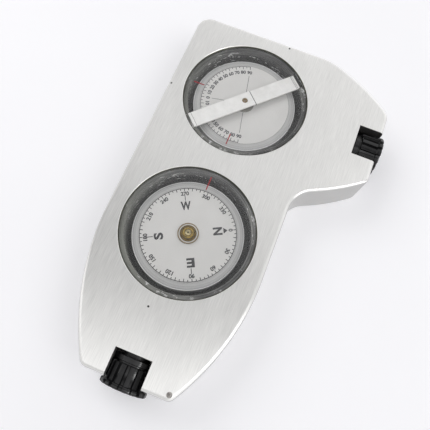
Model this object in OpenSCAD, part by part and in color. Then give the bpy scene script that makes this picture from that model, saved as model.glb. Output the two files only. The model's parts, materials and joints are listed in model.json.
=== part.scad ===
// Pocket compass and clinometer in one aluminium body, for survey work.
// Each instrument is a sealed capsule under a clear window, read through a screwed
// eyepiece that stands in a notch of the body's edge.
// Millimetres. Origin: on the compass's axis at the back face. +Z leaves the top face,
// +Y runs from the compass to the clinometer, and +X points to the wing.

/* [Body] */
// Thickness of the body from the back face to the top face
body_t = 15; // [14.8:0.1:18]
// Compass axis to either side wall of the lower body
body_half_w = 26; // [25:0.1:29]
// Compass axis to the eyepiece end of the body
low_end = 46; // [44:0.1:50]
// Distance between the compass axis and the clinometer axis
axis_gap = 49.5; // [48:0.1:54]
// Clinometer axis to the far end of the body
far_end = 26.2; // [25:0.1:30]
// Compass axis to the wing's end wall
wing_reach = 46.7; // [45:0.1:50]
// Radius of the rounding along the top and back edges
edge_r = 1.2; // [0.6:0.1:1.8]
// Metal left under each capsule
floor_t = 1.4; // [1:0.1:1.8]

/* [Outline] */
// Compass axis to the left corner of the eyepiece end
low_corner_left = 12.5; // [11.5:0.1:14]
// Compass axis to the right corner of the eyepiece end
low_corner_right = 14; // [13:0.1:15]
// Height of the left side's bend above the eyepiece end
left_bend_rise = 21; // [20:0.5:24]
// Height of the right side's bend above the eyepiece end
right_bend_rise = 19.5; // [19:0.5:24]
// Radius of the left side's sweep
left_sweep_r = 78; // [60:1:80]
// Radius of the right side's sweep
right_sweep_r = 74; // [60:1:76]
// Radius of the two corners at the eyepiece end
low_corner_r = 2.5; // [2:0.1:3]
// Radius of the far left corner
far_corner_r = 4.5; // [3:0.1:6]
// Radius where the wing grows out of the side wall
wing_root_r = 9; // [6:0.1:11]
// Clinometer axis down to the wing's lower corner
wing_low = 13.1; // [12:0.1:14]
// Clinometer axis up to the wing's upper corner
wing_high = 13.1; // [12:0.1:14]
// Radius of the wing's lower corner
wing_low_r = 3; // [2:0.1:4]
// Radius of the wing's upper corner
wing_high_r = 4; // [2:0.1:5]
// Radius of the wing's two long sweeps
wing_sweep_r = 68; // [50:1:75]
// Distance from the wing's end wall back to the bend of its lower edge
wing_low_bend_in = 7.7; // [7:0.1:9]
// Clinometer axis down to the bend of the wing's lower edge
wing_low_bend = 19.3; // [18.5:0.1:20]
// Slope of the wing's lower edge at its root, in degrees
wing_root_slope = 25.5; // [22:0.5:28]
// Distance from the wing's end wall back to the bend of its upper edge
wing_high_bend_in = 9.1; // [8:0.1:10]
// Clinometer axis up to the bend of the wing's upper edge
wing_high_bend = 20.2; // [19.5:0.1:21]
// Distance from the wing's end wall back to the end of the straight far edge
far_edge_in = 23.8; // [22:0.1:26]
// Radius that blends the far edge into the wing
far_blend_r = 20; // [12:1:24]

/* [Capsules] */
// Radius of both round pockets
pocket_r = 20.75; // [20:0.05:22]
// Gap between a capsule and its pocket
capsule_gap = 0.15; // [0.05:0.05:0.3]
// Wall of a capsule
capsule_wall = 1.3; // [1:0.1:1.8]
// Floor of a capsule
capsule_floor = 1.2; // [0.8:0.1:1.5]
// Thickness of the clear window
window_t = 1.2; // [0.8:0.1:1.5]
// Depth of the window's face below the body's top face
window_sink = 0.3; // [0.1:0.05:0.5]
// Thickness of the bedding ring under a capsule
bedding_t = 0.3; // [0.2:0.05:0.5]
// Width of the bedding ring
bedding_w = 5; // [3:0.5:7]
// Thickness of the black base plate
base_t = 0.8; // [0.5:0.1:1]
// Small bevel round each pocket's mouth
mouth_bevel = 0.3; // [0.1:0.05:0.5]
// Radius of the filler plug
plug_r = 1.3; // [0.8:0.1:1.6]
// Distance of the filler plug from the capsule's axis
plug_out = 12; // [9:0.5:16]

/* [Cards] */
// Radius of both rotating cards
card_r = 17.4; // [16:0.1:17.8]
// Radius of the white printed face
dial_r = 15.2; // [14:0.1:15.6]
// Depth of the compass card below the body's top face
compass_depth = 4.3; // [4:0.1:4.6]
// Depth of the clinometer card below the body's top face
clinometer_depth = 3.8; // [3.5:0.1:4.1]
// Thickness of the printed face
dial_t = 0.25; // [0.15:0.05:0.3]
// Thickness of the card that carries it
card_t = 0.45; // [0.3:0.05:0.6]
// Wall of the skirt that carries the edge scale
skirt_t = 0.6; // [0.4:0.1:0.9]
// Height of the skirt below the card
skirt_h = 4.2; // [3:0.1:4.8]
// Fall of the bevelled rim from the dial to the card's edge
rim_fall = 0.6; // [0.3:0.1:0.8]
// Bearing of north on the resting card, in degrees from +X
north_angle = 27.3; // [0:0.1:360]
// Direction of the zero mark on the resting clinometer card, in degrees from +X
level_angle = 192; // [0:1:360]

/* [Compass movement] */
// Length of each magnet
magnet_l = 20; // [14:0.5:24]
// Width of each magnet
magnet_w = 2.4; // [1.5:0.1:3]
// Thickness of each magnet
magnet_t = 1.6; // [1:0.1:2]
// Distance of each magnet from the pivot
magnet_out = 4.8; // [4.6:0.1:8]
// Outer radius of the clear hub
hub_r = 3.3; // [3:0.1:3.5]
// Radius of the brass cup's lower step
cup_r = 2.6; // [2.2:0.1:2.7]
// Radius of the brass cup's middle step
cup_mid_r = 1.9; // [1.6:0.1:2.1]
// Radius of the brass cup's top
cup_top_r = 1.25; // [0.9:0.05:1.5]
// Radius of the jewel
jewel_r = 0.9; // [0.7:0.05:1]
// Height of the jewel
jewel_h = 0.9; // [0.7:0.05:1]
// Radius of the pivot post
post_r = 1; // [0.7:0.1:1.4]
// Radius of the pivot post's foot
post_foot_r = 2; // [1.5:0.1:3]

/* [Clinometer movement] */
// Width of the bridge strip
bridge_w = 5.4; // [4.4:0.1:6]
// Thickness of the bridge strip
bridge_t = 0.5; // [0.4:0.05:0.6]
// Direction of the bridge, in degrees from +X
bridge_angle = 45.5; // [0:0.5:180]
// Drop of the bridge's step beside the bearing
bridge_step = 0.25; // [0.1:0.05:0.3]
// Depth of the tabs bent down at the bridge's ends
bridge_tab = 2; // [1.5:0.1:2.4]
// Radius of the front bearing in the bridge
front_bearing_r = 0.95; // [0.8:0.05:1.2]
// Depth of the front bearing below the bridge's face
bearing_sink = 0.3; // [0:0.05:0.4]
// Radius of the rear bearing on the base plate
rear_bearing_r = 1.5; // [1.2:0.1:2]
// Radius of the axle's thin ends
axle_end_r = 0.25; // [0.2:0.05:0.3]
// Radius of the axle between its ends
axle_r = 0.5; // [0.4:0.05:0.6]
// Radius of the hub that holds the card on the axle
card_hub_r = 3.3; // [2.6:0.1:3.6]
// Inner radius of the half-ring weight
weight_in_r = 8; // [6:0.5:10]
// Outer radius of the half-ring weight
weight_out_r = 15.6; // [13:0.1:15.8]
// Thickness of the half-ring weight
weight_t = 1.6; // [1:0.1:2]
// Angle that the weight spans
weight_span = 150; // [90:5:180]

/* [Eyepieces] */
// Width of the notches in the body's edge
notch_w = 11; // [10:0.1:11.6]
// Depth of the notches
notch_depth = 8; // [7:0.1:9]
// Radius of the eyepiece's ribbed barrel
barrel_r = 6.4; // [5.8:0.1:6.5]
// Gap between the barrel and its seat in the body
barrel_gap = 0.4; // [0.2:0.05:0.5]
// Radius of the toothed flange
flange_r = 7.05; // [6.8:0.05:7.2]
// Thickness of the toothed flange
flange_t = 1.35; // [1:0.05:1.8]
// Number of ribs round the barrel
rib_count = 16; // [12:1:20]
// Radius of the grooves between the ribs
groove_r = 0.42; // [0.3:0.02:0.5]
// Radius of the smooth collar at the barrel's inner end
collar_r = 5.9; // [5.5:0.1:6]
// Length of the smooth collar
collar_l = 1.6; // [1:0.1:2.5]
// Width of the neck groove beside the collar
neck_w = 0.5; // [0.3:0.1:1]
// Outer radius of the sliding lens tube
tube_r = 4.2; // [3.9:0.05:4.4]
// Wall of the lens tube
tube_wall = 0.7; // [0.6:0.05:0.9]
// Length of the lens tube
tube_l = 14.6; // [13:0.1:16]
// Gap between the lens tube and its bore in the body
tube_gap = 0.05; // [0.03:0.01:0.08]
// Thickness of the eye lens at its rim
lens_edge = 0.9; // [0.6:0.1:1.2]
// Height of the eye lens's crown
lens_crown = 0.8; // [0.5:0.1:1]
// Height of the ring that holds the lens
retainer_h = 0.8; // [0.6:0.1:1.2]
// Wall of the ring that holds the lens
retainer_wall = 0.6; // [0.4:0.1:0.9]
// Thickness of the sighting window with the hairline
reticle_t = 1; // [0.8:0.1:1.5]
// How far the compass eyepiece stands screwed out in the photograph
compass_focus_out = 0.8; // [0.1:0.1:1.8]
// How far the clinometer eyepiece stands screwed out
clinometer_focus_out = 0; // [0:0.1:1.8]

/* [Lanyard pin] */
// Radius of the pin in the body's corner
pin_r = 0.8; // [0.6:0.1:1.2]
// Distance of the pin from the eyepiece end wall
pin_in = 1.9; // [1.8:0.1:2.6]
// Distance of the pin inwards from the right corner
pin_side = 0.9; // [0.7:0.1:1.6]
// Radius of the slot behind the pin, where a cord passes
slot_r = 3.4; // [3:0.1:4]
// Height of that slot
slot_h = 5; // [4:0.1:6]

/* [Hidden] */

$fn = 96;
eps = 0.01;          // overshoot of a cut past the face that it opens
slip = 0.02;         // gap of a piece that is glued or pressed into a hole
run = 0.1;           // end play of a pivot in its bearing
outline_tol = 0.01;  // greatest distance of the outline's chords from its true arcs
edge_steps = 5;      // flats round a quarter of the edge rounding

// heights in the body, with the capsules standing in their pockets
axis_z = body_t / 2;
window_top = body_t - window_sink;
window_under = window_top - window_t;
cup_z = floor_t + bedding_t;
base_z = cup_z + capsule_floor;
base_top = base_z + base_t;
cup_out_r = pocket_r - capsule_gap;
cup_in_r = cup_out_r - capsule_wall;
window_bevel = 0.2;  // bevel round the window's face
base_gap = 0.1;      // gap round the base plate
index_w = 0.35;      // width of a red line
index_t = 0.1;       // thickness of a red line
compass_index = [0.1, 4.7];  // red line: its gap to the cup's wall, and its length
level_index = [0.8, 3.7];    // the same, of the line beside the level mark
plumb_index = [1.5, 4];      // the same, of the line beside the plumb mark

// compass movement, from the needle's tip downwards
compass_top = body_t - compass_depth;
compass_under = compass_top - dial_t - card_t;
needle_tip_z = compass_under - 0.2;
needle_tip_r = 0.05;
needle_z = needle_tip_z - 1.8;
post_foot_h = 0.6;
jewel_z = needle_tip_z - 0.3;
jewel_dimple = needle_tip_z + run - jewel_z;
brass_z = jewel_z - 0.3;
cup_low_top = compass_top + 0.6;
cup_mid_h = 0.5;
cup_top_h = 0.5;
cup_dot_r = 0.35;
cup_dot_depth = 0.25;
hub_z = compass_under - 1.4;
hub_top = compass_top + 0.4;
hub_ring_w = 0.3;
hub_ring_h = 0.15;

// clinometer movement, between its two bearings
clinometer_top = body_t - clinometer_depth;
clinometer_under = clinometer_top - dial_t - card_t;
bridge_top = window_under - 0.2;
bridge_foot = bridge_top - bridge_tab;
bridge_half = cup_in_r + 0.4;
bridge_step_x = 2.3;     // axle to the bridge's step
bridge_side_gap = 0.1;   // gap round the bridge in its notches
front_bearing_z = bridge_top - 1;
rear_bearing_h = 1.5;
axle_gap = 0.05;         // gap round the axle's ends in their bearings
axle_z = base_top + 0.6;
axle_low = base_top + rear_bearing_h + run;
axle_top = front_bearing_z - run;
hub_neck_r = 1.5;
hub_neck_z = clinometer_under - 1.1;
hub_flange_h = 0.5;

// eyepiece lengths along its axis, with 0 at the body's end wall and plus outwards
stop_gap = 0.5;      // barrel to the notch's inner wall, screwed right in
flange_gap = 0.1;    // flange to the end wall, screwed right in
barrel_in = stop_gap - notch_depth;
rib_start = barrel_in + collar_l + neck_w;
flange_out = flange_gap + flange_t;
flange_bevel = 0.3;
neck_r = collar_r - 0.4;
lip_t = 0.8;         // lip in front of the lens tube
lip_gap = 0.05;      // lens tube to that lip
lip_z = flange_out - lip_t;
cone_h = 0.5;        // depth of the eye opening's flare
tube_out = lip_z - lip_gap;
ring_bore_r = tube_r + 0.1;
eye_r = tube_r - tube_wall - 0.2;
bore_r = tube_r + tube_gap;
seat_r = barrel_r + barrel_gap;
lens_z = tube_out - retainer_h - lens_edge;
lens_r = tube_r - tube_wall - slip;
lens_lip = 0.7;      // step that the lens stands on
crown_r = lens_r - retainer_wall - 0.05;
seal_z = tube_out - tube_l + 2.5;
seal_w = 0.6;
seal_r = 0.19;
seal_depth = tube_r - bore_r + slip + 2 * seal_r;
reticle_in = 1;      // sighting window back from the capsule's pocket

// lanyard pin
pin_x = low_corner_right - pin_side;
pin_y = pin_in - low_end;
pin_sink = 0.3;

function unit(v) = v / norm(v);

// The corners of the body's outline, counter-clockwise, each with its fillet radius.
wing_y = axis_gap - wing_low_bend;
wing_x = wing_reach - wing_low_bend_in;
outline_corners = [
    [-low_corner_left, -low_end, low_corner_r],
    [low_corner_right, -low_end, low_corner_r],
    [body_half_w, right_bend_rise - low_end, right_sweep_r],
    [body_half_w, wing_y - (wing_x - body_half_w) * tan(wing_root_slope), wing_root_r],
    [wing_x, wing_y, wing_sweep_r],
    [wing_reach, axis_gap - wing_low, wing_low_r],
    [wing_reach, axis_gap + wing_high, wing_high_r],
    [wing_reach - wing_high_bend_in, axis_gap + wing_high_bend, wing_sweep_r],
    [wing_reach - far_edge_in, axis_gap + far_end, far_blend_r],
    [-body_half_w, axis_gap + far_end, far_corner_r],
    [-body_half_w, left_bend_rise - low_end, left_sweep_r]
];

// Where two fillets would meet on a side, both are made smaller.
fillet_room = 0.98;  // share of a side that its two fillets may take together
corner_count = len(outline_corners);
function wrap(i) = (i + corner_count) % corner_count;
function corner(i) = [outline_corners[wrap(i)].x, outline_corners[wrap(i)].y];
function towards(i, j) = unit(corner(j) - corner(i));
function half_angle(i) = acos(towards(i, i - 1) * towards(i, i + 1)) / 2;
function tangent_len(i) = outline_corners[wrap(i)].z / tan(half_angle(i));
function room(i, j) =
    fillet_room * norm(corner(j) - corner(i)) / (tangent_len(i) + tangent_len(j));

// Points of one filleted corner. Each entry is [x, y, normal x, normal y], with the
// normal pointing out of the body, so an inset outline is the point less inset * normal.
function corner_arc(i) =
    let (
        r = outline_corners[i].z * min(1, room(i - 1, i), room(i, i + 1)),
        half = half_angle(i),
        back = towards(i, i - 1),
        ahead = towards(i, i + 1),
        centre = corner(i) + unit(back + ahead) * r / sin(half),
        first = corner(i) + back * r / tan(half) - centre,
        turn = cross(back, ahead) < 0 ? 1 : -1,
        sweep = 180 - 2 * half,
        steps = ceil(sweep / (2 * acos(1 - outline_tol / r))),
        start = atan2(first.y, first.x)
    )
    [for (k = [0:steps])
        let (a = start + turn * sweep * k / steps, n = [cos(a), sin(a)])
        [centre.x + r * n.x, centre.y + r * n.y, turn * n.x, turn * n.y]];

outline = [for (i = [0:corner_count - 1]) for (p = corner_arc(i)) p];

// The rounded block: rings of outline points, drawn in near the back and top faces. The
// rings run past both faces, where a slab cuts them flat.
module rounded_block() {
    n = len(outline);
    slab_half = wing_reach + axis_gap + far_end;
    quarter = [for (i = [0:edge_steps]) let (a = 90 * i / edge_steps)
        [edge_r * (1 - cos(a)), edge_r * (1 - sin(a))]];
    rings = concat([[edge_r, -1]], [for (i = [edge_steps:-1:0]) quarter[i]],
                   [for (q = quarter) [q[0], body_t - q[1]]], [[edge_r, body_t + 1]]);
    last = len(rings) - 1;
    points = [for (ring = rings) for (p = outline)
        [p[0] - p[2] * ring[0], p[1] - p[3] * ring[0], ring[1]]];
    sides = [for (k = [0:last - 1]) for (i = [0:n - 1]) let (j = (i + 1) % n)
        [k * n + i, (k + 1) * n + i, (k + 1) * n + j, k * n + j]];
    intersection() {
        polyhedron(points, concat([[for (i = [0:n - 1]) i]], sides,
                                  [[for (i = [n - 1:-1:0]) last * n + i]]));
        translate([-slab_half, -slab_half, 0])
            cube([2 * slab_half, 2 * slab_half, body_t]);
    }
}

// A ring or tube standing on height z.
module ring(outer, inner, h, z = 0) {
    translate([0, 0, z]) difference() {
        cylinder(r = outer, h = h);
        translate([0, 0, -eps]) cylinder(r = inner, h = h + 2 * eps);
    }
}

module disc(r, h, z) { translate([0, 0, z]) cylinder(r = r, h = h); }

// Places of the two capsules and the two eyepieces. An eyepiece is drawn with its axis
// along Z, 0 at the body's end wall, plus outwards, and Y towards the top face.
module at_clinometer() { translate([0, axis_gap, 0]) children(); }
module at_compass_eyepiece() {
    translate([0, -low_end, axis_z]) rotate([90, 0, 0]) children();
}
module at_clinometer_eyepiece() {
    translate([wing_reach, axis_gap, axis_z]) rotate([90, 0, 90]) children();
}
module at_pin() { translate([pin_x, pin_y, 0]) children(); }

// What the body loses for one capsule.
module pocket_cut() {
    disc(pocket_r, body_t, floor_t);
    translate([0, 0, body_t - mouth_bevel])
        cylinder(r1 = pocket_r, r2 = pocket_r + 2 * mouth_bevel, h = 2 * mouth_bevel);
}

// What the body loses for one eyepiece whose end wall is this far from the capsule's axis.
module eyepiece_cut(reach) {
    disc(seat_r, notch_depth + body_t, -notch_depth);
    translate([-notch_w / 2, 0, -notch_depth]) cube([notch_w, body_t, notch_depth + body_t]);
    disc(bore_r, reach - notch_depth, -reach + bore_r);
}

module body() {
    color("gainsboro") difference() {
        rounded_block();
        pocket_cut();
        at_clinometer() pocket_cut();
        at_compass_eyepiece() eyepiece_cut(low_end);
        at_clinometer_eyepiece() eyepiece_cut(wing_reach);
        at_pin() disc(pin_r + slip, body_t + 2, -1);
        at_pin() disc(slot_r, slot_h, axis_z - slot_h / 2);
    }
}

module lanyard_pin() {
    color("lightgray") at_pin() disc(pin_r, body_t - 2 * pin_sink, pin_sink);
}

// Pieces that both capsules have.
module bedding_ring() {
    color("dimgray") ring(cup_out_r, cup_out_r - bedding_w, bedding_t, floor_t);
}

module capsule_cup() {
    color("darkgray", 0.5) difference() {
        disc(cup_out_r, window_under - cup_z, cup_z);
        disc(cup_in_r, body_t, base_z);
        translate([0, -plug_out, 0]) disc(plug_r + slip, body_t, 0);
    }
}

module window() {
    color("lightcyan", 0.3) rotate_extrude() polygon([
        [0, window_under], [cup_out_r, window_under], [cup_out_r, window_top - window_bevel],
        [cup_out_r - window_bevel, window_top], [0, window_top]]);
}

module base_plate() { color("black") disc(cup_in_r - base_gap, base_t, base_z); }

module filler_plug() {
    color("gray") translate([0, -plug_out, 0]) disc(plug_r, capsule_floor, cup_z);
}

// A red line under the window, drawn along +X. Its size is [gap to the wall, length].
module index_line(size) {
    color("crimson")
        translate([cup_in_r - size[0] - size[1], -index_w / 2, window_under - index_t])
            cube([size[1], index_w, index_t]);
}

// A rotating card: flat seat for the dial, bevelled rim and a skirt. Its face is at z = top.
module card(top, hole_r) {
    under = top - dial_t - card_t;
    color("silver") rotate_extrude() polygon([
        [hole_r, under], [card_r - skirt_t, under], [card_r - skirt_t, under - skirt_h],
        [card_r, under - skirt_h], [card_r, top - rim_fall], [dial_r, top],
        [dial_r, top - dial_t], [hole_r, top - dial_t]]);
}

module dial_face(top, hole_r) {
    color("whitesmoke") ring(dial_r - slip, hole_r, dial_t, top - dial_t);
}

// Compass capsule, fixed pieces.
module compass_bedding_ring() { bedding_ring(); }
module compass_capsule_cup() { capsule_cup(); }
module compass_window() { window(); }
module compass_base_plate() { base_plate(); }
module compass_filler_plug() { filler_plug(); }
module compass_index_line() { rotate([0, 0, 90]) index_line(compass_index); }

module compass_pivot_post() {
    color("goldenrod") {
        disc(post_foot_r, post_foot_h, base_top);
        disc(post_r, needle_z - base_top, base_top);
        translate([0, 0, needle_z])
            cylinder(r1 = post_r / 2, r2 = needle_tip_r, h = needle_tip_z - needle_z);
    }
}

// Compass movement, which turns on the pivot.
module compass_card() { card(compass_top, hub_r + slip); }
module compass_dial_face() { dial_face(compass_top, hub_r + slip); }

module compass_magnets() {
    color("slategray") rotate([0, 0, north_angle]) for (side = [-1, 1])
        translate([-magnet_l / 2, side * magnet_out - magnet_w / 2, compass_under - magnet_t])
            cube([magnet_l, magnet_w, magnet_t]);
}

module compass_hub() {
    color("azure", 0.5) ring(hub_r, cup_r + slip, hub_top - hub_z, hub_z);
}

module compass_hub_ring() {
    color("gold") ring(hub_r, hub_r - hub_ring_w, hub_ring_h, hub_top);
}

module compass_brass_cup() {
    color("darkgoldenrod") difference() {
        union() {
            disc(cup_r, cup_low_top - brass_z, brass_z);
            disc(cup_mid_r, cup_mid_h, cup_low_top);
            disc(cup_top_r, cup_top_h, cup_low_top + cup_mid_h);
        }
        disc(jewel_r + slip, jewel_z + jewel_h - brass_z + eps, brass_z - eps);
        disc(cup_dot_r, cup_top_h, cup_low_top + cup_mid_h + cup_top_h - cup_dot_depth);
    }
}

module compass_jewel() {
    color("hotpink", 0.7) difference() {
        disc(jewel_r, jewel_h, jewel_z);
        translate([0, 0, jewel_z - eps])
            cylinder(r1 = jewel_r / 2, r2 = needle_tip_r, h = jewel_dimple + eps);
    }
}

// Clinometer capsule, fixed pieces.
module clinometer_bedding_ring() { at_clinometer() bedding_ring(); }

module clinometer_capsule_cup() {
    color("darkgray", 0.5) at_clinometer() difference() {
        capsule_cup();
        rotate([0, 0, bridge_angle])
            translate([-pocket_r, -bridge_w / 2 - bridge_side_gap, bridge_foot])
                cube([2 * pocket_r, bridge_w + 2 * bridge_side_gap, body_t]);
    }
}

module clinometer_window() { at_clinometer() window(); }
module clinometer_base_plate() { at_clinometer() base_plate(); }
module clinometer_filler_plug() { at_clinometer() filler_plug(); }

module clinometer_index_lines() {
    at_clinometer() {
        rotate([0, 0, 180]) index_line(level_index);
        rotate([0, 0, -90]) index_line(plumb_index);
    }
}

// A strip across the capsule, with a step beside its bearing and a tab bent down at
// each end, which stands in a notch of the cup's wall.
module clinometer_bridge() {
    color("gainsboro") at_clinometer() rotate([0, 0, bridge_angle]) difference() {
        translate([0, -bridge_w / 2, 0]) {
            translate([-bridge_half, 0, bridge_top - bridge_t])
                cube([bridge_half + bridge_step_x + bridge_t, bridge_w, bridge_t]);
            translate([bridge_step_x, 0, bridge_top - bridge_step - bridge_t])
                cube([bridge_half - bridge_step_x, bridge_w, bridge_t]);
            translate([-bridge_half, 0, bridge_foot])
                cube([bridge_t, bridge_w, bridge_tab]);
            translate([bridge_half - bridge_t, 0, bridge_foot])
                cube([bridge_t, bridge_w, bridge_tab - bridge_step]);
        }
        disc(front_bearing_r + slip, body_t, 0);
    }
}

module clinometer_front_bearing() {
    color("darkgoldenrod") at_clinometer()
        ring(front_bearing_r, axle_end_r + axle_gap,
             bridge_top - bearing_sink - front_bearing_z, front_bearing_z);
}

module clinometer_rear_bearing() {
    color("darkgoldenrod") at_clinometer() difference() {
        disc(rear_bearing_r, rear_bearing_h, base_top);
        disc(axle_end_r + axle_gap, body_t, axle_z - run);
    }
}

// Clinometer movement, which turns on its axle.
module clinometer_card() { at_clinometer() card(clinometer_top, hub_neck_r + slip); }
module clinometer_dial_face() {
    at_clinometer() dial_face(clinometer_top, hub_neck_r + slip);
}

module clinometer_weight() {
    color("peru") at_clinometer() rotate([0, 0, level_angle + 90 - weight_span / 2])
        translate([0, 0, clinometer_under - weight_t]) rotate_extrude(angle = weight_span)
            translate([weight_in_r, 0]) square([weight_out_r - weight_in_r, weight_t]);
}

module clinometer_hub() {
    color("saddlebrown") at_clinometer() difference() {
        union() {
            disc(card_hub_r, hub_flange_h, clinometer_top);
            disc(hub_neck_r, clinometer_top - hub_neck_z + eps, hub_neck_z);
        }
        disc(axle_r + slip, body_t, 0);
    }
}

module clinometer_axle() {
    color("lightgray") at_clinometer() {
        disc(axle_end_r, bridge_top - bearing_sink - run - axle_z, axle_z);
        disc(axle_r, axle_top - axle_low, axle_low);
    }
}

// Pieces that both eyepieces have, drawn screwed out by the given amount.
module focus_ring(out) {
    color([0.1, 0.1, 0.11]) translate([0, 0, out]) difference() {
        rotate_extrude() polygon([
            [0, barrel_in], [collar_r, barrel_in], [collar_r, barrel_in + collar_l],
            [neck_r, barrel_in + collar_l], [neck_r, rib_start], [barrel_r, rib_start],
            [barrel_r, flange_gap], [flange_r, flange_gap],
            [flange_r, flange_out - flange_bevel], [flange_r - flange_bevel, flange_out],
            [0, flange_out]]);
        for (i = [0:rib_count - 1]) rotate([0, 0, 360 * (i + 0.5) / rib_count]) {
            translate([barrel_r, 0, rib_start - eps])
                cylinder(r = groove_r, h = flange_gap - rib_start + eps, $fn = 24);
            translate([flange_r, 0, rib_start])
                cylinder(r = groove_r, h = flange_out - rib_start + eps, $fn = 24);
        }
        disc(ring_bore_r, lip_z - barrel_in + eps, barrel_in - eps);
        disc(eye_r, body_t, 0);
        translate([0, 0, flange_out - cone_h])
            cylinder(r1 = eye_r, r2 = eye_r + 2 * cone_h, h = 2 * cone_h);
    }
}

module lens_tube(out) {
    color("black") translate([0, 0, out]) difference() {
        disc(tube_r, tube_l, tube_out - tube_l);
        disc(tube_r - tube_wall, body_t, lens_z);
        disc(tube_r - tube_wall - lens_lip, tube_l + 2, tube_out - tube_l - 1);
        ring(tube_r + 1, tube_r - seal_depth, seal_w, seal_z - seal_w / 2);
    }
}

module eye_lens(out) {
    crown_sphere_r = (crown_r * crown_r + lens_crown * lens_crown) / (2 * lens_crown);
    color("lightcyan", 0.5) translate([0, 0, out + lens_z]) {
        disc(lens_r, lens_edge, 0);
        intersection() {
            disc(crown_r, lens_edge + lens_crown, 0);
            translate([0, 0, lens_edge + lens_crown - crown_sphere_r])
                sphere(r = crown_sphere_r);
        }
    }
}

module lens_retainer(out) {
    color("black") ring(lens_r, lens_r - retainer_wall, retainer_h, out + lens_z + lens_edge);
}

module tube_seal(out) {
    color("black") translate([0, 0, out + seal_z]) rotate_extrude()
        translate([bore_r - slip - seal_r, 0]) circle(r = seal_r, $fn = 32);
}

module reticle(reach) {
    color("lightcyan", 0.4) disc(bore_r - slip, reticle_t, pocket_r - reach + reticle_in);
}

module compass_focus_ring() { at_compass_eyepiece() focus_ring(compass_focus_out); }
module compass_lens_tube() { at_compass_eyepiece() lens_tube(compass_focus_out); }
module compass_eye_lens() { at_compass_eyepiece() eye_lens(compass_focus_out); }
module compass_lens_retainer() { at_compass_eyepiece() lens_retainer(compass_focus_out); }
module compass_tube_seal() { at_compass_eyepiece() tube_seal(compass_focus_out); }
module compass_reticle() { at_compass_eyepiece() reticle(low_end); }

module clinometer_focus_ring() {
    at_clinometer_eyepiece() focus_ring(clinometer_focus_out);
}
module clinometer_lens_tube() { at_clinometer_eyepiece() lens_tube(clinometer_focus_out); }
module clinometer_eye_lens() { at_clinometer_eyepiece() eye_lens(clinometer_focus_out); }
module clinometer_lens_retainer() {
    at_clinometer_eyepiece() lens_retainer(clinometer_focus_out);
}
module clinometer_tube_seal() { at_clinometer_eyepiece() tube_seal(clinometer_focus_out); }
module clinometer_reticle() { at_clinometer_eyepiece() reticle(wing_reach); }

body();
lanyard_pin();
compass_bedding_ring();
compass_capsule_cup();
compass_window();
compass_base_plate();
compass_filler_plug();
compass_index_line();
compass_pivot_post();
compass_card();
compass_dial_face();
compass_magnets();
compass_hub();
compass_hub_ring();
compass_brass_cup();
compass_jewel();
clinometer_bedding_ring();
clinometer_capsule_cup();
clinometer_window();
clinometer_base_plate();
clinometer_filler_plug();
clinometer_index_lines();
clinometer_bridge();
clinometer_front_bearing();
clinometer_rear_bearing();
clinometer_card();
clinometer_dial_face();
clinometer_weight();
clinometer_hub();
clinometer_axle();
compass_focus_ring();
compass_lens_tube();
compass_eye_lens();
compass_lens_retainer();
compass_tube_seal();
compass_reticle();
clinometer_focus_ring();
clinometer_lens_tube();
clinometer_eye_lens();
clinometer_lens_retainer();
clinometer_tube_seal();
clinometer_reticle();
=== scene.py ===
"""A hand compass and clinometer in one aluminium body, finished for display.

The packed CAD model is loaded as a fixed frame. The body, the focus rings and the
dials' printing are computed here. The other pieces keep their CAD shape and get a
finish. Lengths in the settings are millimetres, and meshes are in metres.
"""

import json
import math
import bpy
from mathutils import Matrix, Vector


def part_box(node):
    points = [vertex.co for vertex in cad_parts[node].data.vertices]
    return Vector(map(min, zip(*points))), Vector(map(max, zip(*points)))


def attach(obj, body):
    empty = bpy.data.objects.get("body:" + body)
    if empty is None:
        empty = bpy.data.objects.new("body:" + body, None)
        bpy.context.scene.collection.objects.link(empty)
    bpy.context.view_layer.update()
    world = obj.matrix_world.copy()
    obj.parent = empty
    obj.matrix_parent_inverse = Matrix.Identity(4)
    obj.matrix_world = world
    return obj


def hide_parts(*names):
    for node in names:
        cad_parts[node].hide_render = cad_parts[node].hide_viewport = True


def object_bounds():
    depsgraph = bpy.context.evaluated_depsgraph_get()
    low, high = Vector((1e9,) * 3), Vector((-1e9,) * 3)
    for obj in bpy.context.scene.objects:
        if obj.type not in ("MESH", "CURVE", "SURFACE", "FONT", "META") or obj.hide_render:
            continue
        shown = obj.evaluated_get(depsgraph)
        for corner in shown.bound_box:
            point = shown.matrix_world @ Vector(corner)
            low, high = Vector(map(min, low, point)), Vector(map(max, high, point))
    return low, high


bl_info = {
    "name": "Compass clinometer",
    "version": (1, 0, 0),
    "blender": (4, 5, 0),
    "location": "View3D > Sidebar > Clinometer",
    "description": "Finishes a hand compass and clinometer on its packed frame",
    "category": "Object",
}

import bpy
import numpy as np

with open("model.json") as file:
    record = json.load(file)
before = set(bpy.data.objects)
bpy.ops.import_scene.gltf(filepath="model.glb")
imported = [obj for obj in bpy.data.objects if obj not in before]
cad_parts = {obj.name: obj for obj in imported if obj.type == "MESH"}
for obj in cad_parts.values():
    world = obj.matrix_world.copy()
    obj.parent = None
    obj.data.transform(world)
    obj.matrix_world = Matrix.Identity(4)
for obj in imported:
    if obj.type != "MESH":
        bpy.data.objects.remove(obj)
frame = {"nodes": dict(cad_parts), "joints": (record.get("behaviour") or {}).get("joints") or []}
CAD_BOX = [list(corner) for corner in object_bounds()]
NODES = frame["nodes"]
JOINTS = {joint["name"]: joint for joint in frame["joints"]}

MM = 0.001
TAU = 2 * math.pi


def axis_of(node):
    """The X and Y of the middle of a CAD node's box."""
    low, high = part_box(node)
    return (np.array(low) + np.array(high))[:2] / 2


def top_of(node):
    """The height of a CAD node's upper face."""
    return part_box(node)[1].z


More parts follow.
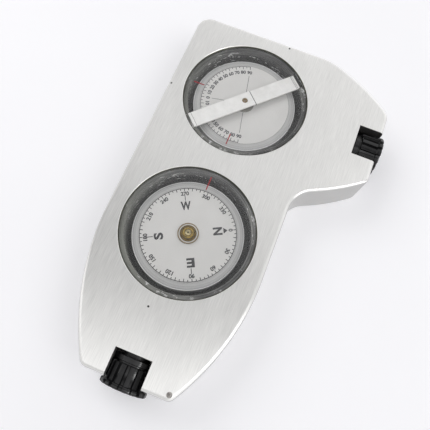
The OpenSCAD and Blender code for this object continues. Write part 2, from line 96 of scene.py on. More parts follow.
COMPASS_AXIS = axis_of("compass_dial_face")
CLINOMETER_AXIS = axis_of("clinometer_dial_face")
DIAL_RADIUS = (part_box("compass_dial_face")[1].x - COMPASS_AXIS[0]) / MM
CARD_RADIUS = (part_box("compass_card")[1].x - COMPASS_AXIS[0]) / MM
WINDOW_RADIUS = (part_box("compass_window")[1].x - COMPASS_AXIS[0]) / MM

# Where the compass card's N and the clinometer card's 0 are at rest, in degrees from
# +X, counter-clockwise from above.
NORTH = 27.3
LEVEL = 192.0

# The two scales, in millimetres: how far inside the dial's edge they lie, the lengths of
# their long and short ticks, and the radius on which their numbers stand.
COMPASS_SCALE = {"margin": 0.12, "long": 1.05, "short": 0.75, "numbers": 13.2}
CLINOMETER_SCALE = {"margin": 0.15, "long": 1.2, "short": 0.75, "numbers": 12.6}

# The compass card's letters: bearing in degrees and width in millimetres. All stand on
# one radius. Outside E, S and W a line runs from one radius to another, and outside N
# lies a small arrow.
LETTERS = (("N", 0, 2.5), ("E", 90, 2.45), ("S", 180, 2.2), ("W", 270, 3.2))
LETTER_RADIUS = 9.15
LETTER_LINES = (10.85, 12.6)
ARROW_RADIUS = 11.6
ARROW_HALF_WIDTH, ARROW_HALF_LENGTH = 0.9, 0.65

# The radii between which the clinometer card's three thin lines run.
LEVEL_LINES = (2.5, 11.3)

# How much the strokes are thickened on each side, as a share of the font's size.
NUMBER_BOLD = 0.038
LETTER_BOLD = 0.042

# Degrees between the corners of a printed arc.
ARC_STEP = 2

# The places of the small dents in the upper face, in millimetres.
DENTS = ((-25.0, 45.2), (7.3, 74.3), (-1.7, -24.9))

# The bridge's direction in degrees, and the lines of painted shade across it where it is
# bent or steps down: place along it from the axis, width, and grey. The places and widths
# are in millimetres.
BRIDGE_ANGLE = 45.5
BRIDGE_SHADE_LINES = ((2.95, 0.34, 0.12), (18.5, 0.16, 0.16), (18.95, 0.14, 0.2),
                (-18.7, 0.14, 0.3))

# The focus ring's profile: distance in front of the eye's end (so mostly negative),
# radius, and how much of a groove's depth cuts in there. It starts at the inner end of
# the bore, runs out along the outside and comes back through the eye opening.
BARREL_RADIUS = 6.40
RING_PROFILE = np.array([
    [-8.95, 4.30, 0.0], [-8.95, 5.75, 0.0], [-8.80, 5.90, 0.0], [-7.50, 5.90, 0.0],
    [-7.38, 5.78, 0.0], [-7.32, 5.50, 0.0], [-6.98, 5.50, 0.0], [-6.90, 6.05, 0.2],
    [-6.78, 6.32, 0.8], [-6.60, BARREL_RADIUS, 1.0], [-1.80, BARREL_RADIUS, 1.0],
    [-1.60, 6.50, 1.0], [-1.42, 6.84, 1.0], [-1.25, 7.00, 1.0], [-1.10, 7.05, 1.0],
    [-0.45, 7.05, 1.0], [-0.15, 6.95, 0.9], [0.00, 6.65, 0.6], [0.00, 5.95, 0.0],
    [0.00, 4.00, 0.0], [-0.10, 3.80, 0.0], [-0.55, 3.30, 0.0], [-0.80, 3.30, 0.0],
    [-0.80, 4.30, 0.0]])

# Points round the ring for each rib, and how square a groove is: at 1 it is a parabola.
POINTS_PER_RIB = 20
GROOVE_FULLNESS = 2.2

# Brightness of the surroundings for a direction's part along Y, from -1 to 1, and what
# is added to it for its part along X. Its blue is a touch brighter.
SKY_ALONG_Y = ((-1.0, 0.7), (-0.42, 0.8), (-0.24, 1.3), (-0.12, 1.62), (0.0, 0.52),
               (0.12, 0.09), (0.25, 0.64), (0.42, 0.97), (0.56, 0.6), (0.7, 0.95),
               (1.0, 1.1))
SKY_ALONG_X = ((-1.0, 0.05), (-0.5, 0.0), (0.1, 0.0), (0.4, 0.42), (1.0, 0.2))
SKY_BLUE = 1.01

# The lamps: name, place, width and height in millimetres, the setting that holds the
# power, and True where the lamp shows in gloss alone. The others light matt surfaces
# alone.
LAMPS = (("left lamp", (-420, 180, 440), 400, 400, "key_power", False),
         ("right lamp", (380, 60, 460), 360, 360, "fill_power", False),
         ("strip lamp", (455, -160, 463), 160, 100, "strip_power", True))

# Half the floor's side, in millimetres.
FLOOR_HALF = 1500.0

# The camera that was fitted to the photograph, in millimetres and degrees.
CAMERA_PLACE = (15.66, -32.23, 141.06)
CAMERA_TURN = (17.852, -2.480, 21.671)
CAMERA_LENS = 36.52


class BodyFinish(bpy.types.PropertyGroup):
    """The brushed aluminium body."""

    colour: bpy.props.FloatVectorProperty(
        name="Aluminium", description="Colour of the brushed aluminium",
        subtype="COLOR", size=3, min=0, max=1, default=(0.80, 0.795, 0.775))
    contrast: bpy.props.FloatProperty(
        name="Streak contrast", description="How much the brushed streaks differ",
        default=0.1, min=0, max=0.5, subtype="FACTOR")
    streak_width: bpy.props.FloatProperty(
        name="Streak width", description="Width of a brushed streak in millimetres",
        default=0.19, min=0.05, max=3)
    streak_length: bpy.props.FloatProperty(
        name="Streak length", description="Length of a brushed streak in millimetres",
        default=6.5, min=1, max=60)
    roughness: bpy.props.FloatProperty(
        name="Roughness", description="Roughness of the brushed face",
        default=0.38, min=0.05, max=1, subtype="FACTOR")
    stretch: bpy.props.FloatProperty(
        name="Highlight stretch",
        description="How far highlights spread across the streaks",
        default=0.5, min=0, max=1, subtype="FACTOR")
    # The dark line round a window is painted shade over its mouth's chamfer and bore.
    mouth_line: bpy.props.FloatProperty(
        name="Mouth line", description="Width of the dark line round a window, in mm",
        default=0.32, min=0, max=1)
    # The sides' painted shade starts this far from the upper and lower face.
    face_edge: bpy.props.FloatProperty(
        name="Edge of a face",
        description="How far the bright faces reach onto the sides, in mm",
        default=0.5, min=0, max=5)
    dent_size: bpy.props.FloatProperty(
        name="Dent size", description="Radius of the small dents in millimetres",
        default=0.32, min=0, max=1)


class CapsuleFinish(bpy.types.PropertyGroup):
    """The sealed capsules: window, wall, floor and red lines."""

    refraction: bpy.props.FloatProperty(
        name="Window's index", description="Index of refraction of the window",
        default=1.45, min=1, max=2)
    # The wall's streaky greys are a painted reflection of the aluminium pocket in the clear
    # wall.
    wall_dark: bpy.props.FloatProperty(
        name="Wall, dark", description="Darkest grey of the streaky wall",
        default=0.07, min=0, max=1, subtype="FACTOR")
    wall_light: bpy.props.FloatProperty(
        name="Wall, light", description="Lightest grey of the streaky wall",
        default=0.41, min=0, max=1, subtype="FACTOR")
    # The side where the walls carry painted light.
    pale_side: bpy.props.FloatProperty(
        name="Pale side", description="Where a wall is palest, as an angle from +X",
        default=math.radians(215), min=0, max=TAU, subtype="ANGLE")
    line_colour: bpy.props.FloatVectorProperty(
        name="Red line", description="Colour of the fixed lines over the dials",
        subtype="COLOR", size=3, min=0, max=1, default=(0.38, 0.03, 0.04))


class DialPrint(bpy.types.PropertyGroup):
    """The printed dials."""

    face_colour: bpy.props.FloatVectorProperty(
        name="Face", description="Colour of the dial's face",
        subtype="COLOR", size=3, min=0, max=1, default=(0.68, 0.672, 0.655))
    ink_colour: bpy.props.FloatVectorProperty(
        name="Ink", description="Colour of the printing",
        subtype="COLOR", size=3, min=0, max=1, default=(0.025, 0.025, 0.028))
    thickness: bpy.props.FloatProperty(
        name="Ink thickness", description="Height of the printing in millimetres",
        default=0.02, min=0.005, max=0.1)
    tick_width: bpy.props.FloatProperty(
        name="Tick width", description="Width of a tick in millimetres",
        default=0.23, min=0.05, max=0.4)
    line_width: bpy.props.FloatProperty(
        name="Line width", description="Width of a thin line in millimetres",
        default=0.14, min=0.03, max=0.3)
    number_height: bpy.props.FloatProperty(
        name="Number height", description="Height of a number in millimetres",
        default=1.35, min=0.5, max=3)
    letter_height: bpy.props.FloatProperty(
        name="Letter height", description="Height of N, E, S and W in millimetres",
        default=2.9, min=1, max=5)


class EyepieceForm(bpy.types.PropertyGroup):
    """The ribbed focus rings."""

    colour: bpy.props.FloatVectorProperty(
        name="Black", description="Colour of the moulded ring",
        subtype="COLOR", size=3, min=0, max=1, default=(0.006, 0.006, 0.0065))
    rib_count: bpy.props.IntProperty(
        name="Ribs", description="Ribs round the barrel", default=16, min=6, max=40)
    groove_width: bpy.props.FloatProperty(
        name="Groove width", description="Width of a groove in millimetres",
        default=1.2, min=0.2, max=2)
    groove_depth: bpy.props.FloatProperty(
        name="Groove depth", description="Depth of a groove in millimetres",
        default=0.8, min=0, max=1)


class StageLight(bpy.types.PropertyGroup):
    """Floor, lamps and background."""

    floor_colour: bpy.props.FloatVectorProperty(
        name="Floor", description="Colour of the floor",
        subtype="COLOR", size=3, min=0, max=1, default=(0.84, 0.835, 0.86))
    floor_glow: bpy.props.FloatProperty(
        name="Floor glow", description="Light that the floor gives off by itself",
        default=0.25, min=0, max=2)
    sky_level: bpy.props.FloatProperty(
        name="Sky level", description="Light from all round",
        default=1.0, min=0, max=2)
    matt_share: bpy.props.FloatProperty(
        name="Matt share", description="Share of the sky's light that matt surfaces get",
        default=0.5, min=0, max=1, subtype="FACTOR")
    key_power: bpy.props.FloatProperty(
        name="Left lamp", description="Power of the soft lamp on the left",
        default=1.2, min=0, max=50, unit="POWER")
    fill_power: bpy.props.FloatProperty(
        name="Right lamp", description="Power of the soft lamp on the right",
        default=0.65, min=0, max=50, unit="POWER")
    strip_power: bpy.props.FloatProperty(
        name="Strip lamp", description="Power of the narrow lamp that gloss mirrors",
        default=0.6, min=0, max=50, unit="POWER")


class Nodes:
    """A node tree under construction, of a material or of the world."""

    def __init__(self, tree):
        self.tree = tree

    def add(self, kind, **settings):
        """A new node of a kind, with its settings."""
        node = self.tree.nodes.new(kind)
        for key, value in settings.items():
            setattr(node, key, value)
        return node

    def link(self, source, target):
        """Links an output to an input."""
        self.tree.links.new(source, target)

    def put(self, socket, value):
        """Links a socket's value, or writes a plain one."""
        if isinstance(value, bpy.types.NodeSocket):
            self.link(value, socket)
        else:
            socket.default_value = value

    def math(self, operation, *values):
        """One operation on values."""
        node = self.add("ShaderNodeMath", operation=operation)
        for socket, value in zip(node.inputs, values):
            self.put(socket, value)
        return node.outputs["Value"]

    def weighed(self, *terms):
        """The sum of values, each times its weight."""
        total = 0.0
        for value, weight in terms:
            total = self.math("MULTIPLY_ADD", value, weight, total)
        return total

    def vector(self, x, y, z):
        """A vector of three values."""
        node = self.add("ShaderNodeCombineXYZ")
        for socket, value in zip(node.inputs, (x, y, z)):
            self.put(socket, value)
        return node.outputs["Vector"]

    def split(self, vector):
        """The X, Y and Z of a vector."""
        node = self.add("ShaderNodeSeparateXYZ")
        self.link(vector, node.inputs["Vector"])
        return tuple(node.outputs)

    def ramp(self, factor, stops):
        """A colour for each value of factor, from (position, colour) stops."""
        node = self.add("ShaderNodeValToRGB")
        while len(node.color_ramp.elements) < len(stops):
            node.color_ramp.elements.new(0.5)
        for element, (position, colour) in zip(node.color_ramp.elements, stops):
            element.position = position
            element.color = (*colour, 1)
        self.put(node.inputs["Fac"], factor)
        return node.outputs["Color"]

    def mix(self, factor, first, second, blend="MIX"):
        """Two colours mixed by a factor, or one added to the other."""
        node = self.add("ShaderNodeMix", data_type="RGBA", blend_type=blend)
        self.put(node.inputs["Factor"], factor)
        for socket, value in ((node.inputs[6], first), (node.inputs[7], second)):
            self.put(socket, value if isinstance(value, bpy.types.NodeSocket)
                     else (*value, 1))
        return node.outputs[2]

    def span(self, value, low, high, start=0.0):
        """Moves a value from start..1 to low..high."""
        node = self.add("ShaderNodeMapRange")
        self.put(node.inputs["Value"], value)
        node.inputs["From Min"].default_value = start
        node.inputs["To Min"].default_value = low
        node.inputs["To Max"].default_value = high
        return node.outputs["Result"]

    def rays(self, *kinds):
        """1 for rays of the named kinds, such as Camera, and 0 for all others."""
        path = self.add("ShaderNodeLightPath")
        meant = 0.0
        for kind in kinds:
            meant = self.math("MAXIMUM", path.outputs["Is " + kind + " Ray"], meant)
        return meant


class Finish(Nodes):
    """A material under construction. Patterns read Object coordinates, moved so that
    the given centre is the pattern's origin."""

    def __init__(self, name, centre=(0, 0, 0)):
        self.material = bpy.data.materials.new(name)
        self.material.use_nodes = True
        super().__init__(self.material.node_tree)
        self.shader = self.tree.nodes["Principled BSDF"]
        self.output = self.tree.nodes["Material Output"]
        coordinates = self.add("ShaderNodeTexCoord")
        mapping = self.add("ShaderNodeMapping")
        mapping.inputs["Location"].default_value = [-value for value in centre]
        self.link(coordinates.outputs["Object"], mapping.inputs["Vector"])
        self.place = mapping.outputs["Vector"]

    def set(self, **values):
        """Plain values on the shader's own sockets, such as Metallic=1."""
        for key, value in values.items():
            self.shader.inputs[key.replace("_", " ")].default_value = value

    def colour(self, socket):
        """Links the shader's colour."""
        self.link(socket, self.shader.inputs["Base Color"])

    def roughness(self, socket):
        """Links the shader's roughness."""
        self.link(socket, self.shader.inputs["Roughness"])

    def bump(self, height, depth, strength):
        """A relief this deep, in metres, from a height of 0 to 1."""
        node = self.add("ShaderNodeBump")
        node.inputs["Strength"].default_value = strength
        node.inputs["Distance"].default_value = depth
        self.link(height, node.inputs["Height"])
        self.link(node.outputs["Normal"], self.shader.inputs["Normal"])

    def noise(self, spacing, detail=3.0, vector=None, roughness=0.5):
        """Noise whose features are about this many metres apart along X, Y and Z."""
        stretch = self.add("ShaderNodeVectorMath", operation="DIVIDE")
        self.put(stretch.inputs[0], vector or self.place)
        stretch.inputs[1].default_value = spacing
        node = self.add("ShaderNodeTexNoise")
        self.link(stretch.outputs["Vector"], node.inputs["Vector"])
        node.inputs["Scale"].default_value = 1.0
        node.inputs["Detail"].default_value = detail
        node.inputs["Roughness"].default_value = roughness
        return node.outputs["Fac"]

    def polar(self):
        """The distance from the pattern's Z axis in metres, the angle round it, and the
        height."""
        x, y, height = self.split(self.place)
        radius = self.math("SQRT", self.math(
            "ADD", self.math("MULTIPLY", x, x), self.math("MULTIPLY", y, y)))
        return radius, self.math("ARCTAN2", y, x), height

    def turning_lines(self, polar, spacing):
        """Fine lines round the pattern's Z axis, this many metres apart, from polar()."""
        radius, angle, height = polar
        round_axis = self.vector(radius, self.math("MULTIPLY", angle, MM), height)
        return self.noise((spacing, 40 * MM, 40 * MM), detail=1, vector=round_axis)

    def along(self, degrees):
        """The distance from the pattern's Z axis along a direction in the plane."""
        node = self.add("ShaderNodeVectorMath", operation="DOT_PRODUCT")
        self.link(self.place, node.inputs[0])
        turn = math.radians(degrees)
        node.inputs[1].default_value = (math.cos(turn), math.sin(turn), 0)
        return node.outputs["Value"]

    def flat_place(self):
        """The place with its height taken as 0."""
        node = self.add("ShaderNodeVectorMath", operation="MULTIPLY")
        self.link(self.place, node.inputs[0])
        node.inputs[1].default_value = (1, 1, 0)
        return node.outputs["Vector"]

    def near(self, vector, point, reach):
        """1 where a vector is within reach of a fixed point, and 0 elsewhere."""
        node = self.add("ShaderNodeVectorMath", operation="DISTANCE")
        self.link(vector, node.inputs[0])
        node.inputs[1].default_value = point
        return self.math("LESS_THAN", node.outputs["Value"], reach)


def shade(colour, share):
    """A colour made lighter or darker by a share of itself."""
    return tuple(min(1.0, value * (1 + share)) for value in colour)


def plain_finish(name, colour, metallic=0.0, rough=0.5, variation=0.08, grain=0.6,
                 coat=0.0):
    """A moulded, cast or turned surface: its colour drifts with soft noise, and its
    roughness and relief follow a fine grain, whose spacing is given in millimetres."""
    f = Finish(name)
    soft = f.noise((grain * 6 * MM,) * 3, detail=2)
    fine = f.noise((grain * MM,) * 3, detail=4)
    f.colour(f.ramp(soft, [(0.3, shade(colour, -variation)),
                           (0.7, shade(colour, variation))]))
    f.roughness(f.span(fine, max(0.03, rough - 0.08), min(1.0, rough + 0.08)))
    f.bump(fine, 0.01 * MM, 0.4)
    f.set(Metallic=metallic)
    if coat:
        f.set(Coat_Weight=coat, Coat_Roughness=0.08)
    return f.material


def brushed_aluminium(look):
    """Brushed along Y: two noises stretched along Y drive colour, roughness and relief,
    and wide drifts of tone lie over them. The sides, notch walls and window bores are
    painted darker than the upper and lower face, as painted shade. The dents are dark,
    and a band of painted shade runs round each window's mouth."""
    # The dents' dark tone, and the painted shade round each window's mouth.
    dent_tone, mouth_shade_tone = (0.06, 0.06, 0.06), (0.13, 0.13, 0.105)
    # Painted shade on the sides, notch walls and window bores, and how much of it.
    side_shade_tone, side_shade_share = shade(look.colour, -0.3), 0.9
    f = Finish("brushed_aluminium")
    width, length = look.streak_width * MM, look.streak_length * MM
    streaks = f.noise((width, length, width), detail=5, roughness=0.6)
    hair = f.noise((width / 4, length / 2, width / 4), detail=3)
    drift = f.noise((9 * MM, 30 * MM, 9 * MM), detail=2)
    mixed = f.weighed((streaks, 0.6), (hair, 0.22), (drift, 0.18))
    metal = f.ramp(mixed, [(0.36, shade(look.colour, -look.contrast)),
                           (0.64, shade(look.colour, look.contrast))])
    height, top = f.split(f.place)[2], CAD_BOX[1][2]
    off_middle = f.math("ABSOLUTE", f.math("SUBTRACT", height, top / 2))
    side = f.math("LESS_THAN", off_middle, top / 2 - look.face_edge * MM)
    metal = f.mix(f.math("MULTIPLY", side, side_shade_share), metal, side_shade_tone)
    for x, y in DENTS:
        dent = f.near(f.place, (x * MM, y * MM, top), look.dent_size * MM)
        metal = f.mix(dent, metal, dent_tone)
    # A band of painted shade round each window's mouth, on the upper half.
    upper, flat = f.math("GREATER_THAN", height, top / 2), f.flat_place()
    for axis in (COMPASS_AXIS, CLINOMETER_AXIS):
        mouth = f.near(flat, (*axis, 0), (WINDOW_RADIUS + look.mouth_line) * MM)
        metal = f.mix(f.math("MULTIPLY", upper, mouth), metal, mouth_shade_tone)
    f.colour(metal)
    f.roughness(f.span(streaks, look.roughness - 0.09, look.roughness + 0.09))
    f.bump(mixed, 0.012 * MM, 0.5)
    f.set(Metallic=1.0, Anisotropic=look.stretch)
    f.link(f.vector(1, 0, 0), f.shader.inputs["Tangent"])
    return f.material


def clear_finish(name, index, tint=(1, 1, 1)):
    """Glass or clear plastic. Rays from lamps and from matt surfaces pass straight
    through, so what lies behind it is lit."""
    f = Finish(name)
    f.set(Base_Color=(*tint, 1), Transmission_Weight=1.0, Roughness=0.02, IOR=index)
    through = f.add("ShaderNodeBsdfTransparent")
    through.inputs["Color"].default_value = (*tint, 1)
    choice = f.add("ShaderNodeMixShader")
    f.link(f.rays("Shadow", "Diffuse"), choice.inputs["Fac"])
    f.link(f.shader.outputs["BSDF"], choice.inputs[1])
    f.link(through.outputs["BSDF"], choice.inputs[2])
    f.link(choice.outputs["Shader"], f.output.inputs["Surface"])
    return f.material


def streaky_wall(side, look, share):
    """A capsule's inner wall: long streaks round the axis in greys, from noise over the
    radius, the height and, slowly, the angle; the greys are a painted reflection of the
    aluminium pocket in the clear wall. Painted shade darkens it low down, painted light
    makes one side paler, and a few small bright spots are painted glints. The greys are a
    share of the settings' greys."""
    # Painted shade at the wall's foot, painted light on one side, and painted glints.
    foot_shade_tone, lit_side_tone = (0.03, 0.03, 0.031), (0.36, 0.365, 0.33)
    glint_tone = (0.75, 0.75, 0.74)
    f = Finish(side + "_wall", (*axis_of(side + "_dial_face"), 0))
    radius, angle, height = f.polar()
    round_axis = f.vector(radius, f.math("MULTIPLY", angle, 9 * MM), height)
    streaks = f.noise((0.4 * MM, 26 * MM, 0.6 * MM), detail=4, vector=round_axis,
                      roughness=0.6)
    patches = f.noise((2 * MM, 5 * MM, 3 * MM), detail=2, vector=round_axis)
    # Small bright spots, painted glints.
    glint_noise = f.noise((0.5 * MM, 0.9 * MM, 0.6 * MM), detail=2, vector=round_axis)
    dark, light = look.wall_dark * share, look.wall_light * share
    tone = f.weighed((streaks, 0.6), (patches, 0.4))
    grey = f.ramp(tone, [(0.36, (dark,) * 3), (0.5, ((dark + light) / 2.6,) * 3),
                         (0.66, (light, light, light * 0.95))])
    low, high = top_of(side + "_dial_face"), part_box(side + "_window")[0].z
    # Painted shade: darker low down.
    rise = f.math("DIVIDE", f.math("SUBTRACT", height, low), (high - low) * 0.7)
    grey = f.mix(f.span(rise, 0.25, 1.0), foot_shade_tone, grey)
    # Painted light: paler on one side.
    towards = f.math("COSINE", f.math("SUBTRACT", angle, look.pale_side))
    grey = f.mix(f.math("MULTIPLY", towards, 0.7 * share), grey, lit_side_tone)
    glinting = f.math("MULTIPLY", f.math("GREATER_THAN", glint_noise, 0.64),
                     f.math("GREATER_THAN", patches, 0.54))
    f.colour(f.mix(glinting, grey, glint_tone))
    f.bump(streaks, 0.03 * MM, 0.5)
    f.set(Roughness=0.22)
    return f.material


def turned_card(name, axis):
    """The card's bevelled rim: grey with fine turning lines and a painted highlight on its
    outer edge, from the radius alone."""
    f = Finish(name, (*axis, 0))
    polar = f.polar()
    inner, outer = DIAL_RADIUS * MM, CARD_RADIUS * MM
    share = f.math("DIVIDE", f.math("SUBTRACT", polar[0], inner), outer - inner)
    # The last, near-white stop is a painted highlight on the rim's outer edge.
    tone = f.ramp(share, [(0.0, (0.10, 0.10, 0.10)), (0.07, (0.55, 0.55, 0.54)),
                          (0.40, (0.60, 0.60, 0.59)), (0.50, (0.45, 0.45, 0.44)),
                          (0.56, (0.58, 0.58, 0.57)), (0.80, (0.50, 0.50, 0.50)),
                          (0.86, (0.38, 0.38, 0.38)), (0.91, (0.95, 0.95, 0.94))])
    lines = f.turning_lines(polar, 0.12 * MM)
    f.colour(f.mix(f.span(lines, 0.0, 0.35), tone, (0.28, 0.28, 0.29)))
    f.bump(lines, 0.02 * MM, 0.3)
    f.set(Roughness=0.45)
    return f.material


def turned_brass():
    """A stepped brass cup, its reflections painted by the radius: pale gold rings are
    painted highlights and near-black rings painted shade, with fine turning lines and
    darker patches of painted shadow."""
    cup_radius = 2.6 * MM
    f = Finish("turned_brass", (*COMPASS_AXIS, 0))
    polar = f.polar()
    share = f.math("DIVIDE", polar[0], cup_radius)
    # Painted reflection by radius: pale gold rings are painted highlights, near-black rings at
    # the middle and between the steps painted shade.
    tone = f.ramp(share, [(0.09, (0.05, 0.04, 0.02)), (0.14, (0.58, 0.50, 0.28)),
                          (0.31, (0.60, 0.53, 0.32)), (0.38, (0.05, 0.03, 0.01)),
                          (0.46, (0.40, 0.28, 0.06)), (0.62, (0.38, 0.26, 0.06)),
                          (0.70, (0.03, 0.02, 0.005)), (0.84, (0.20, 0.13, 0.03)),
                          (0.95, (0.09, 0.055, 0.012))])
    # Darker patches of painted shadow over the cup.
    patches = f.noise((1.1 * MM,) * 3, detail=1)
    tone = f.mix(f.span(patches, -0.9, 1.5), tone, (0.035, 0.02, 0.004))
    lines = f.turning_lines(polar, 0.08 * MM)
    f.colour(f.mix(f.span(lines, 0.0, 0.3), tone, (0.10, 0.07, 0.02)))
    f.bump(lines, 0.01 * MM, 0.4)
    f.set(Metallic=1.0, Roughness=0.3)
    return f.material


def bent_strip():
    """The bridge: pale metal with soft blotches, and darker lines of painted shade across it
    where the strip is bent or steps down, from the distance along it."""
    f = Finish("bent_strip", (*CLINOMETER_AXIS, 0))
    soft = f.noise((2.4 * MM,) * 3, detail=3)
    tone = f.ramp(soft, [(0.3, (0.75, 0.745, 0.725)), (0.7, (0.85, 0.845, 0.83))])
    along = f.along(BRIDGE_ANGLE)
    for place, width, grey in BRIDGE_SHADE_LINES:
        off = f.math("ABSOLUTE", f.math("SUBTRACT", along, place * MM))
        line = f.math("LESS_THAN", off, width / 2 * MM)
        tone = f.mix(line, tone, (grey, grey, grey * 0.97))
    f.colour(tone)
    f.bump(f.noise((0.25 * MM,) * 3), 0.01 * MM, 0.4)
    f.set(Metallic=0.25, Roughness=0.42)
    return f.material


def ribbed_plastic(look):
    """Glossy black moulding with worn, slightly greyer patches and dust-fine grain."""
    f = Finish("ribbed_plastic")
    worn = f.noise((1.8 * MM,) * 3, detail=4)
    fine = f.noise((0.12 * MM,) * 3, detail=3)
    f.colour(f.ramp(worn, [(0.42, look.colour), (0.80, (0.014, 0.014, 0.015))]))
    f.roughness(f.span(worn, 0.10, 0.24))
    f.bump(fine, 0.002 * MM, 0.4)
    f.set(Specular_IOR_Level=0.4)
    return f.material


def dress(finish, *nodes):
    """Gives CAD nodes a material."""
    for name in nodes:
        mesh = NODES[name].data
        if not mesh.materials:
            mesh.materials.append(finish)
        for index in range(len(mesh.materials)):
            mesh.materials[index] = finish


def grid_faces(rows, columns):
    """Quads between neighbours of a rows-by-columns grid that closes on itself both
    ways, as one array."""
    row, column = np.meshgrid(np.arange(rows), np.arange(columns), indexing="ij")
    next_row, next_column = (row + 1) % rows, (column + 1) % columns
    return np.stack([row * columns + column, row * columns + next_column,
                     next_row * columns + next_column, next_row * columns + column],
                    axis=-1).reshape(-1, 4)


def joined(parts):
    """One set of points and faces from several. A part's face numbers move past the
    points of the parts before it."""
    starts = np.cumsum([0] + [len(points) for points, faces in parts])
    points = np.concatenate([points for points, faces in parts])
    faces = [[int(start) + int(i) for i in face]
             for start, (_, part) in zip(starts, parts) for face in part]
    return points, faces


def new_piece(name, points, faces, finish, body, sharp, replaces=()):
    """Makes a piece from points in millimetres. It rides on a body, takes a slot's
    finish, and may stand for CAD nodes. Edges sharper than sharp degrees stay crisp."""
    mesh = bpy.data.meshes.new(name)
    mesh.from_pydata((np.asarray(points) * MM).tolist(), [],
                     [list(map(int, face)) for face in faces])
    mesh.shade_smooth()
    mesh.set_sharp_from_angle(angle=math.radians(sharp))
    mesh.materials.append(finish)
    piece = bpy.data.objects.new(name, mesh)
    bpy.context.scene.collection.objects.link(piece)
    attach(piece, body)
    if replaces:
        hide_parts(*replaces)
    return piece


def points_of(mesh):
    """A mesh's points as one array."""
    points = np.empty(len(mesh.vertices) * 3, np.float32)
    mesh.vertices.foreach_get("co", points)
    return points.reshape(-1, 3).astype(float)


def one_each(points, fineness):
    """The points without doubles, and the number among them of each old point. Points
    that are equal once they are multiplied by fineness and rounded count as one."""
    keys = np.round(points * fineness).astype(np.int64)
    _, first, number = np.unique(keys, axis=0, return_index=True, return_inverse=True)
    return points[first], number.reshape(-1)


def merged(node):
    """A CAD node's points in millimetres and its triangles, with the loose triangles'
    shared corners made one."""
    mesh = NODES[node].data
    points, number = one_each(points_of(mesh) / MM, 1000)
    corners = np.empty(len(mesh.loops), np.int32)
    mesh.loops.foreach_get("vertex_index", corners)
    triangles = number[corners].reshape(-1, 3)
    whole = (triangles != np.roll(triangles, 1, axis=1)).all(axis=1)
    return points, triangles[whole]


def bars(inner, outer, angles, width, levels):
    """Blocks along radii. A block's corners are the inner or outer radius along its
    angle, plus or minus half the width a quarter turn on, at the low or high level."""
    inner, outer, angles = np.broadcast_arrays(inner, outer, np.radians(angles))
    along = np.stack([np.cos(angles), np.sin(angles)], axis=-1)
    across = np.stack([-np.sin(angles), np.cos(angles)], axis=-1)
    flat = np.stack([radius[:, None] * along + side * width / 2 * across
                     for radius in (inner, outer) for side in (-1, 1)], axis=1)
    flat = np.repeat(flat, 2, axis=1)
    heights = np.tile(levels, 4 * angles.size).reshape(angles.size, 8, 1)
    points = np.concatenate([flat, heights], axis=2).reshape(-1, 3)
    block = np.array([[1, 5, 7, 3], [0, 2, 6, 4], [0, 1, 3, 2],
                      [4, 6, 7, 5], [0, 4, 5, 1], [2, 3, 7, 6]])
    faces = (block[None] + 8 * np.arange(angles.size)[:, None, None]).reshape(-1, 4)
    return points, faces


def arc_band(inner, outer, start, end, levels):
    """A flat band along an arc: a rectangle between two radii and two levels, carried
    from the start angle to the end angle in degrees. A full turn closes on itself."""
    closed = abs(end - start) >= 360
    steps = int(abs(end - start) / ARC_STEP) + (not closed)
    angles = np.radians(np.linspace(start, end, steps, endpoint=not closed))
    low, high = levels
    radii, heights = np.array([inner, outer, outer, inner]), [low, low, high, high]
    points = np.stack([radii[None] * np.cos(angles)[:, None],
                       radii[None] * np.sin(angles)[:, None],
                       np.broadcast_to(heights, (steps, 4))], axis=-1).reshape(-1, 3)
    faces = grid_faces(steps, 4)[:, ::-1]
    if closed:
        return points, faces
    last = 4 * steps - 1
    ends = [[0, 1, 2, 3], [last, last - 1, last - 2, last - 3]]
    return points, list(faces[:4 * (steps - 1)]) + ends


def lettering(words, height, bold, levels, width=None):
    """Words as a thin solid, centred, reading along +X, from the built-in font. Bold
    thickens the strokes on each side by a share of the font's size. A width in
    millimetres stretches or narrows them."""
    curve = bpy.data.curves.new("words", "FONT")
    curve.body = words
    curve.extrude = 0.5
    curve.offset = bold
    curve.resolution_u = 4
    holder = bpy.data.objects.new("words", curve)
    bpy.context.scene.collection.objects.link(holder)
    bpy.context.view_layer.update()
    mesh = bpy.data.meshes.new_from_object(
        holder.evaluated_get(bpy.context.evaluated_depsgraph_get()))
    points, number = one_each(points_of(mesh), 1e5)
    faces = [[int(number[i]) for i in polygon.vertices] for polygon in mesh.polygons]
    faces = [face for face in faces if len(set(face)) == len(face)]
    bpy.data.objects.remove(holder)
    bpy.data.meshes.remove(mesh)
    bpy.data.curves.remove(curve)
    low, high = points.min(0), points.max(0)
    points[:, :2] = (points - (low + high) / 2)[:, :2] * (height / (high - low)[1])
    if width:
        points[:, 0] *= width / (points[:, 0].max() - points[:, 0].min())
    points[:, 2] = np.where(points[:, 2] > 0, levels[1], levels[0])
    return points, faces


def set_out(part, radius, angle, turn):
    """Turns a flat part by turn degrees and moves it out along an angle."""
    points, faces = part
    a, t = math.radians(angle), math.radians(turn)
    x, y = points[:, 0], points[:, 1]
    placed = np.stack([x * math.cos(t) - y * math.sin(t) + radius * math.cos(a),
                       x * math.sin(t) + y * math.cos(t) + radius * math.sin(a),
                       points[:, 2]], axis=-1)
    return placed, faces


def scale_marks(scale, marks, angles, start, end, width, levels):
    """A scale's ticks at the marks' angles, the long ones at every tenth degree, and the
    arc along their outer ends from the start angle to the end angle."""
    edge = DIAL_RADIUS - scale["margin"]
    lengths = np.where(marks % 10 == 0, scale["long"], scale["short"])
    return [bars(edge - lengths, edge, angles, width, levels),
            arc_band(edge - width, edge, start, end, levels)]


